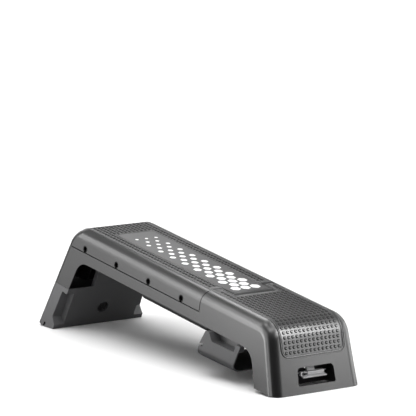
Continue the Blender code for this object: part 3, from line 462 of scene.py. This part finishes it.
def inside_of(outline, s, v, margin):
    """Which spots lie inside the outline and farther than the margin from it: a line from the
    spot along the deck crosses the outline an odd number of times."""
    a, b = outline, np.roll(outline, -1, axis=0)
    edge = b - a
    offset = np.stack((s, v), axis=-1)[:, None] - a[None]
    along = np.clip(np.einsum("nkj,kj->nk", offset, edge) / np.sum(edge ** 2, axis=1), 0, 1)
    away = np.linalg.norm(offset - along[..., None] * edge[None], axis=-1).min(axis=1)
    crosses = (a[:, 1] > v[:, None]) != (b[:, 1] > v[:, None])
    rise = np.where(edge[:, 1] == 0, 1, edge[:, 1])
    level_s = a[:, 0] + (v[:, None] - a[:, 1]) * edge[:, 0] / rise
    return (np.sum(crosses & (s[:, None] < level_s), axis=1) % 2 == 1) & (away > margin)


def repeated(spots, one):
    """The faces of one shape, given again for each copy of its corners."""
    faces = one[None] + np.arange(len(spots))[:, None, None] * spots.shape[1]
    return spots.reshape(-1, 3), np.where(one[None] < 0, -1, faces).reshape(-1, 4)


MARK_PITCH, MARK_COLUMNS, LAST_ROW, MARK_MARGIN = 0.0152, 14, 0.0165, 0.0120
CRESCENT_RADIUS, CRESCENT_HALF = 0.0039, 0.0024
DOT_RADIUS, DOT_AHEAD, DOT_ASIDE = 0.0015, -0.0024, 0.0030
BURIED, SHOULDER = -0.0008, 0.0007


def grip_marks(side, outline, low_s, high_s):
    """Grip nubs on a square grid: each a crescent, a low section carried round two thirds of a
    turn with its width as a half sine, and a small flat-topped dot in its opening."""
    rows = high_s - LAST_ROW - MARK_PITCH * np.arange(int((high_s - low_s) / MARK_PITCH))
    columns = (np.arange(MARK_COLUMNS) - (MARK_COLUMNS - 1) / 2) * MARK_PITCH
    s, v = (grid.ravel() for grid in np.meshgrid(rows, columns, indexing="ij"))
    keep = inside_of(outline, s, v, MARK_MARGIN)
    s, v = s[keep], v[keep]

    t = np.linspace(0.0, 1.0, 8)
    angle = math.radians(40.0) + t * math.radians(235.0)
    half = CRESCENT_HALF * np.sin(math.pi * (0.10 + 0.82 * t)) ** 0.6
    section = np.array(((-1.15, BURIED), (-0.80, SHOULDER), (0.0, MAT_TOP), (0.80, SHOULDER),
                        (1.15, BURIED)))
    radius = CRESCENT_RADIUS + half[:, None] * section[None, :, 0]
    crescent_s = s[:, None, None] + radius * np.sin(angle)[:, None]
    crescent_v = v[:, None, None] + radius * np.cos(angle)[:, None]
    height = np.broadcast_to(section[:, 1], crescent_s.shape)
    crescents = over_the_end(side, crescent_s, crescent_v, height).reshape(len(s), -1, 3)
    ends = np.array(((0, 1, 2, 3), (0, 3, 4, -1), (38, 37, 36, 35), (39, 38, 35, -1)))
    crescent_faces = np.concatenate((ring_faces(8, 5, open_rows=True), ends))

    round_six = np.arange(6) * math.pi / 3
    rings = np.array(((1.0, BURIED), (0.85, SHOULDER), (0.55, 0.0009)))
    dot_s = s[:, None, None] + DOT_AHEAD + DOT_RADIUS * rings[:, :1] * np.sin(round_six)
    dot_v = v[:, None, None] + DOT_ASIDE + DOT_RADIUS * rings[:, :1] * np.cos(round_six)
    height = np.broadcast_to(rings[:, 1:], dot_s.shape)
    dots = over_the_end(side, dot_s, dot_v, height).reshape(len(s), -1, 3)
    lids = np.array(((12, 13, 14, 15), (12, 15, 16, 17), (3, 2, 1, 0), (5, 4, 3, 0)))
    dot_faces = np.concatenate((ring_faces(3, 6, open_rows=True), lids))
    return [repeated(crescents, crescent_faces), repeated(dots, dot_faces)]


def corner_half(s, end):
    """Half the field's width where its low corners are rounded."""
    turn = MAT_CORNER - FIELD_INSET
    into = np.clip(s - (end - MAT_CORNER), 0.0, turn)
    return MAT_HALF - MAT_CORNER + np.sqrt(np.maximum(turn ** 2 - into ** 2, 0.0))


def down_to(start, end):
    """Stations closer together where the low corners turn."""
    turn = MAT_CORNER - FIELD_INSET
    turns = end - MAT_CORNER + turn * np.sin(np.linspace(0.0, math.pi / 2, 10))
    return np.concatenate((np.linspace(start, end - MAT_CORNER, 90)[:-1], turns))


mat_rubber = moulded_plastic("mat_rubber", (0.012, 0.012, 0.0125), (0.10, 0.10, 0.10),
                             roughness=0.34, grain=900.0, depth=0.00004, ior=1.52, dust=0.6)
grip_rubber = moulded_plastic("grip_rubber", (0.004, 0.004, 0.004), (0.05, 0.05, 0.05),
                              roughness=0.62, grain=1500.0, depth=0.00004, ior=1.28, dust=0.5)


def finish_mat(name, node, body, parts, nubs):
    """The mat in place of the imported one, and its nubs of a duller rubber."""
    for label, shapes, material, sharp in ((name, parts, mat_rubber, 50),
                                           (name + "_nubs", nubs, grip_rubber, 35)):
        mat = closed_mesh(label, shapes, material)
        mat.data.shade_smooth()
        mat.data.set_sharp_from_angle(angle=math.radians(sharp))
        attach(mat, body)
        if shapes is parts:
            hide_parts(node)


SEAT_FROM, SEAT_NOTCH, NOTCH_HALF = 0.1927, 0.2572, 0.0777
SEAT_LOW_EDGE, SEAT_MARKS_FROM = 0.103, 0.18
BESIDE_STATIONS, BESIDE_COLUMNS, FIELD_COLUMNS = 6, 3, 12
seat_end = along_the_wall(SEAT_LOW_EDGE)
seat_outline, seat_inward = outline_of([
    (SEAT_FROM, -MAT_HALF, 0.0010), (SEAT_FROM, -NOTCH_HALF, 0.0010),
    (SEAT_NOTCH, -NOTCH_HALF, 0.0010), (SEAT_NOTCH, NOTCH_HALF, 0.0010),
    (SEAT_FROM, NOTCH_HALF, 0.0010), (SEAT_FROM, MAT_HALF, 0.0010),
    (seat_end, MAT_HALF, MAT_CORNER), (seat_end, -MAT_HALF, MAT_CORNER)])
seat_stations = down_to(SEAT_NOTCH + FIELD_INSET, seat_end)
seat_half = corner_half(seat_stations, seat_end)
beside_tongue = np.linspace(SEAT_FROM + FIELD_INSET, SEAT_NOTCH + FIELD_INSET, BESIDE_STATIONS)
seat_parts = [mat_plate(1, seat_stations, -seat_half, seat_half, FIELD_COLUMNS),
              mat_rim(1, seat_outline, seat_inward)]
for low, high in ((NOTCH_HALF + FIELD_INSET, MAT_HALF - FIELD_INSET),
                  (-MAT_HALF + FIELD_INSET, -NOTCH_HALF - FIELD_INSET)):
    edges = (np.full(BESIDE_STATIONS, edge) for edge in (low, high))
    seat_parts.append(mat_plate(1, beside_tongue, *edges, BESIDE_COLUMNS))
finish_mat("seat_mat", "seat_tread", "deck_body", seat_parts,
           grip_marks(1, seat_outline, SEAT_MARKS_FROM, seat_end))


# Storage tray and the two strut racks: plain black mouldings inside the deck.  The tray hangs
# by its flange in the floor of the skirt, and the racks are welded to that floor.

dark_plastic = moulded_plastic("dark_plastic", (0.010, 0.010, 0.0105), (0.06, 0.06, 0.06),
                               roughness=0.42, grain=1100.0, depth=0.00004)
merged_copy("storage_tray", "deck_body", dark_plastic, "kit_tray")
for hand in ("left", "right"):
    merged_copy(f"{hand}_rack", "deck_body", dark_plastic, f"{hand}_strut_rail")


# Pins, the lid's hinge rod and the paddles' torsion springs.  Pins and rod are turned steel,
# chemically blacked, and the springs are bright plated wire.  The leg pins are headed, and
# nylon washers keep each leg off its cheeks.


def plain_noise(nodes, links, vector, scale, detail):
    """Plain noise over a vector."""
    texture = nodes.new("ShaderNodeTexNoise")
    texture.inputs["Scale"].default_value = scale
    texture.inputs["Detail"].default_value = detail
    links.new(vector, texture.inputs["Vector"])
    return texture.outputs["Fac"]


def span(nodes, links, factor, low, high, socket):
    """A factor stretched to run between two values, into a socket."""
    stretched = nodes.new("ShaderNodeMapRange")
    stretched.inputs["To Min"].default_value = low
    stretched.inputs["To Max"].default_value = high
    links.new(factor, stretched.inputs["Value"])
    links.new(stretched.outputs["Result"], socket)


def plated_steel(name, low_tint, high_tint):
    """Finished steel: metal with drawing lines along the deck's cross axis, and a cloudy
    finish that changes the tint and the roughness."""
    made, nodes, links, shader = new_material(name)
    shader.inputs["Metallic"].default_value = 1.0
    where = nodes.new("ShaderNodeTexCoord").outputs["Object"]
    stretch = nodes.new("ShaderNodeMapping")
    stretch.inputs["Scale"].default_value = (1.0, 0.03, 1.0)
    links.new(where, stretch.inputs["Vector"])
    lines = plain_noise(nodes, links, stretch.outputs["Vector"], 2600.0, 2.0)
    cloud = plain_noise(nodes, links, where, 160.0, 2.0)
    blend(nodes, links, cloud, low_tint, high_tint, shader.inputs["Base Color"])
    span(nodes, links, cloud, 0.20, 0.38, shader.inputs["Roughness"])
    relief(nodes, links, lines, 0.00001, shader)
    return made


steel = plated_steel("plated_steel", (0.50, 0.50, 0.51), (0.66, 0.66, 0.67))
blacked_steel = plated_steel("blacked_steel", (0.018, 0.018, 0.019), (0.030, 0.030, 0.031))
merged_copy("lid_hinge_rod", "deck_body", blacked_steel, "lid_rod")
for end in ("near", "far"):
    merged_copy(f"{end}_leg_pin", "deck_body", blacked_steel, f"{end}_leg_hinge_pin")
    merged_copy(f"{end}_paddle_pin", "deck_body", blacked_steel, f"{end}_paddle_hinge_pin")
    for hand in ("left", "right"):
        merged_copy(f"{end}_{hand}_leg_washer", "deck_body", dark_plastic,
                    f"{end}_{hand}_washer")


def tube(path, sides, radius, closed, beside=(0.0, 1.0, 0.13)):
    """A round tube: a circle carried along a path in the planes square to it, its start turned
    away from one fixed direction all along."""
    ahead = np.roll(path, -1, axis=0) - np.roll(path, 1, axis=0)
    if not closed:
        ahead[0] = path[1] - path[0]
        ahead[-1] = path[-1] - path[-2]
    ahead /= np.linalg.norm(ahead, axis=1)[:, None]
    across = np.cross(ahead, np.array(beside))
    across /= np.linalg.norm(across, axis=1)[:, None]
    other = np.cross(ahead, across)
    angle = np.arange(sides)[:, None] * 2 * math.pi / sides
    circle = across[:, None] * np.cos(angle) + other[:, None] * np.sin(angle)
    spots = path[:, None] + radius * circle
    faces = [ring_faces(len(path), sides, open_rows=not closed)]
    if not closed:
        j = np.arange(1, sides // 2)
        cap = np.stack((j - 1, sides - j, sides - 1 - j, j), axis=-1)
        faces += [cap, cap[:, ::-1] + (len(path) - 1) * sides]
    return spots.reshape(-1, 3), np.concatenate(faces)


COIL_U, COIL_W, COIL_FROM, COIL_LONG = 0.553, 0.050, -0.0375, 0.0185
COIL_RADIUS, WIRE_RADIUS, COIL_TURNS = 0.0052, 0.0009, 5.0
for side, end in ((1, "near"), (-1, "far")):
    t = np.linspace(0.0, COIL_TURNS, 121) * 2 * math.pi
    coil = np.stack((side * (COIL_U + COIL_RADIUS * np.cos(t)), COIL_FROM + COIL_LONG * t / t[-1],
                     COIL_W + COIL_RADIUS * np.sin(t)), axis=-1)
    spring = closed_mesh(f"{end}_torsion_spring", [tube(deck(coil), 8, WIRE_RADIUS, False)], steel)
    spring.data.shade_smooth()
    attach(spring, "deck_body")
    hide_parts(f"{end}_paddle_spring")


# Backrest lid: a deep lid of the same black moulding, flush with the deck all round, with a
# rib grid beneath and four keyhole slots in each long side for knotted bands.  Its centre
# tongue turns on the hinge rod.

merged_copy("backrest_shell", "backrest", deck_plastic, "backrest_moulding")


# Band-slot liners: soft black rubber pressed into the keyhole slots, with a thin lip on the
# outside that saves the bands from the plastic's edge.

SLOT_COUNT, SLOT_START, SLOT_PITCH = 4, -0.438, 0.1755
SLOT_W, SLOT_RADIUS, SLOT_NECK = 0.1505, 0.0088, 0.0034
SIDE_DRAFT = math.radians(3.7)
SIDE_FOOT = 0.165
SEAM_TOP = 0.1402


def slot_liner(u, hand):
    """The slot's edge, up one side of the neck, round the eye and down the other, with a lip's
    section carried along it: distance from the edge and height over the drafted wall."""
    neck = math.asin(SLOT_NECK / SLOT_RADIUS)
    turn = -math.pi / 2 + neck + (2 * math.pi - 2 * neck) * np.linspace(0.0, 1.0, 19)
    eye = np.stack((np.cos(turn), np.sin(turn)), axis=-1)
    foot = SEAM_TOP - SLOT_W
    edge = np.concatenate((((SLOT_NECK, foot),), eye * SLOT_RADIUS, ((-SLOT_NECK, foot),)))
    outward = np.concatenate((((1.0, 0.0),), eye, ((-1.0, 0.0),)))
    section = np.array(((-0.0003, -0.0046), (-0.0003, 0.0003), (0.0002, 0.0006), (0.0020, 0.0006),
                        (0.0028, 0.0001), (0.0029, -0.0006), (0.0002, -0.0008), (0.0001, -0.0046)))
    flat = edge[:, None] + outward[:, None] * section[None, :, :1]
    w = SLOT_W + flat[..., 1]
    v = hand * (SIDE_FOOT - w * math.tan(SIDE_DRAFT) + section[None, :, 1])
    spots = deck(np.stack((u + flat[..., 0], v + 0.0 * w, w), axis=-1))
    rows, ring = spots.shape[:2]
    caps = np.array(((0, 1, 2, 7), (2, 3, 6, 7), (3, 4, 5, 6)))
    faces = (ring_faces(rows, ring, open_rows=True), caps[:, ::-1], caps + (rows - 1) * ring)
    return spots.reshape(-1, 3), np.concatenate(faces)


for hand, word in ((-1, "left"), (1, "right")):
    parts = [slot_liner(SLOT_START + SLOT_PITCH * n, hand) for n in range(SLOT_COUNT)]
    liners = closed_mesh(f"{word}_slot_liners", parts, grip_rubber)
    liners.data.shade_smooth()
    liners.data.set_sharp_from_angle(angle=math.radians(40))
    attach(liners, "backrest")


# Lid mat: the same studded rubber, glued in its pocket, wrapped over the far end and open
# round the smooth centre panel.

PANEL_FROM, PANEL_HALF, PANEL_GAP = -0.392, 0.0685, 0.0008
LID_FROM, LID_LOW_EDGE, LID_STATIONS = -0.1778, 0.152, 12
lid_end = along_the_wall(LID_LOW_EDGE)
head = -PANEL_FROM + PANEL_GAP
inner = PANEL_HALF + PANEL_GAP
lid_outline, lid_inward = outline_of([
    (LID_FROM, -MAT_HALF, 0.0010), (LID_FROM, -inner, 0.0010), (head, -inner, 0.0100),
    (head, inner, 0.0100), (LID_FROM, inner, 0.0010), (LID_FROM, MAT_HALF, 0.0010),
    (lid_end, MAT_HALF, MAT_CORNER), (lid_end, -MAT_HALF, MAT_CORNER)])
lid_stations = down_to(head + FIELD_INSET, lid_end)
lid_half = corner_half(lid_stations, lid_end)
beside_panel = np.linspace(LID_FROM + FIELD_INSET, head + FIELD_INSET, LID_STATIONS)
lid_parts = [mat_plate(-1, lid_stations, -lid_half, lid_half, FIELD_COLUMNS),
             mat_rim(-1, lid_outline, lid_inward)]
for low, high in ((inner + FIELD_INSET, MAT_HALF - FIELD_INSET),
                  (-MAT_HALF + FIELD_INSET, -inner - FIELD_INSET)):
    edges = (np.full(LID_STATIONS, edge) for edge in (low, high))
    lid_parts.append(mat_plate(-1, beside_panel, *edges, BESIDE_COLUMNS))
finish_mat("backrest_mat", "backrest_tread", "backrest", lid_parts,
           grip_marks(-1, lid_outline, LID_FROM, lid_end))


# Centre panel: a smooth grey insert of hard plastic, snapped into the lid and its tongue,
# with a pad-printed pattern of white hexagons that grow towards the seat.

panel_plastic = moulded_plastic("panel_plastic", (0.018, 0.018, 0.0185), (0.10, 0.10, 0.10),
                                roughness=0.36, grain=1600.0, depth=0.00002)
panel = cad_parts["centre_panel"]
panel.data.materials.clear()
panel.data.materials.append(panel_plastic)


def printed_ink():
    """White ink with a slightly uneven coat that lets the grain of the panel through."""
    made, nodes, links, shader = new_material("white_ink")
    where = nodes.new("ShaderNodeTexCoord").outputs["Object"]
    coat = plain_noise(nodes, links, where, 700.0, 3.0)
    blend(nodes, links, coat, (0.78, 0.78, 0.78), (0.90, 0.90, 0.90), shader.inputs["Base Color"])
    span(nodes, links, coat, 0.40, 0.58, shader.inputs["Roughness"])
    relief(nodes, links, coat, 0.00001, shader)
    return made


PRINT_ROWS, ROW_PITCH, COLUMN_PITCH = 17, 0.0330, 0.0370
PRINT_FROM, PRINT_HALF = 0.2010, 0.0400
LARGEST, SHRINK = 0.0172, 0.0110
INK_FOOT, INK_TOP = HEIGHT + 0.00025, HEIGHT + 0.00042


def hexagon_print():
    """Hexagons on staggered rows of two and three, as thin prisms: the row's place sets the
    size, which grows from the head of the panel to the seat."""
    rows = np.arange(PRINT_ROWS)[:, None]
    columns = np.arange(-1, 2)[None, :]
    u = PRINT_FROM - rows * ROW_PITCH + 0.0 * columns
    v = (columns + 0.5 * (rows % 2)) * COLUMN_PITCH
    size = LARGEST - SHRINK * (rows / rows[-1]) ** 1.2 + 0.0 * columns
    keep = np.abs(v) < PRINT_HALF
    u, v, size = u[keep][:, None], v[keep][:, None], size[keep][:, None]
    angle = np.arange(6) * math.pi / 3
    ring = np.stack((u + size * np.cos(angle), v + size * np.sin(angle)), axis=-1)
    layers = [np.concatenate((ring, np.full(ring.shape[:2] + (1,), height)), axis=-1)
              for height in (INK_FOOT, INK_TOP)]
    j = np.arange(6)
    sides = np.stack((j, (j + 1) % 6, (j + 1) % 6 + 6, j + 6), axis=-1)
    caps = np.array(((6, 7, 8, 9), (6, 9, 10, 11), (3, 2, 1, 0), (5, 4, 3, 0)))
    return repeated(deck(np.concatenate(layers, axis=1)), np.concatenate((sides, caps)))


pattern = closed_mesh("hexagon_print", [hexagon_print()], printed_ink())
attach(pattern, "backrest")


# Support strut and its saddles: a closed loop of bent steel bar that hangs under the lid.  The
# pivot bar turns in two plastic saddles, and the foot bar drops into the notches of the rails.

for hand in ("left", "right"):
    merged_copy(f"{hand}_strut_clamp", "backrest", dark_plastic, f"{hand}_strut_saddle")
STRUT_AT, STRUT_FOOT, STRUT_HALF, STRUT_W = -0.080, -0.430, 0.1285, 0.170
STRUT_BEND, BAR_RADIUS = 0.022, 0.0050
loop, _ = outline_of([(STRUT_AT, -STRUT_HALF, STRUT_BEND), (STRUT_AT, STRUT_HALF, STRUT_BEND),
                      (STRUT_FOOT, STRUT_HALF, STRUT_BEND), (STRUT_FOOT, -STRUT_HALF, STRUT_BEND)],
                     step=0.01)
bar = deck(np.concatenate((loop, np.full((len(loop), 1), STRUT_W)), axis=1))
deck_normal = (math.sin(DECLINE), 0.0, math.cos(DECLINE))
strut = closed_mesh("strut_bar", [tube(bar, 20, BAR_RADIUS, True, beside=deck_normal)], steel)
strut.data.shade_smooth()
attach(strut, "support_strut")
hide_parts("support_strut")


# Legs: two hollow mouldings that carry the end walls on down when they are folded out.  Their
# plastic is a little greyer than the deck's.  Each has a recessed lock knob in its inner
# face, a hinge tongue, two rubber pads and an open handhold in each inner corner.

leg_plastic = moulded_plastic("leg_plastic", (0.060, 0.060, 0.062), (0.14, 0.14, 0.14),
                              roughness=0.36, grain=1300.0, depth=0.00003)
foot_rubber = moulded_plastic("foot_rubber", (0.014, 0.014, 0.014), (0.10, 0.10, 0.10),
                              roughness=0.60, grain=700.0, depth=0.00006, dust=0.8)
for end in ("near", "far"):
    merged_copy(f"{end}_leg_shell", f"{end}_leg", leg_plastic, f"{end}_leg_moulding")
    for hand in ("left", "right"):
        merged_copy(f"{end}_{hand}_leg_pad", f"{end}_leg", foot_rubber, f"{end}_{hand}_pad")
    merged_copy(f"{end}_lock_knob", f"{end}_lock_knob", dark_plastic, f"{end}_knob")


# Release paddles: grey finger plates behind the hand holes, each one moulding with its hub and
# the pawl arm that holds the leg.

paddle_plastic = moulded_plastic("paddle_plastic", (0.300, 0.300, 0.306), (0.40, 0.40, 0.40),
                                 roughness=0.34, grain=1400.0, depth=0.00003)
for end in ("near", "far"):
    merged_copy(f"{end}_paddle", f"{end}_paddle", paddle_plastic, f"{end}_release")


# Foot buttons: small turned-down rubber feet pressed into the corners of the deck's rim.

for end in ("near", "far"):
    for hand in ("left", "right"):
        merged_copy(f"{end}_{hand}_foot_button", "deck_body", foot_rubber, f"{end}_{hand}_foot")
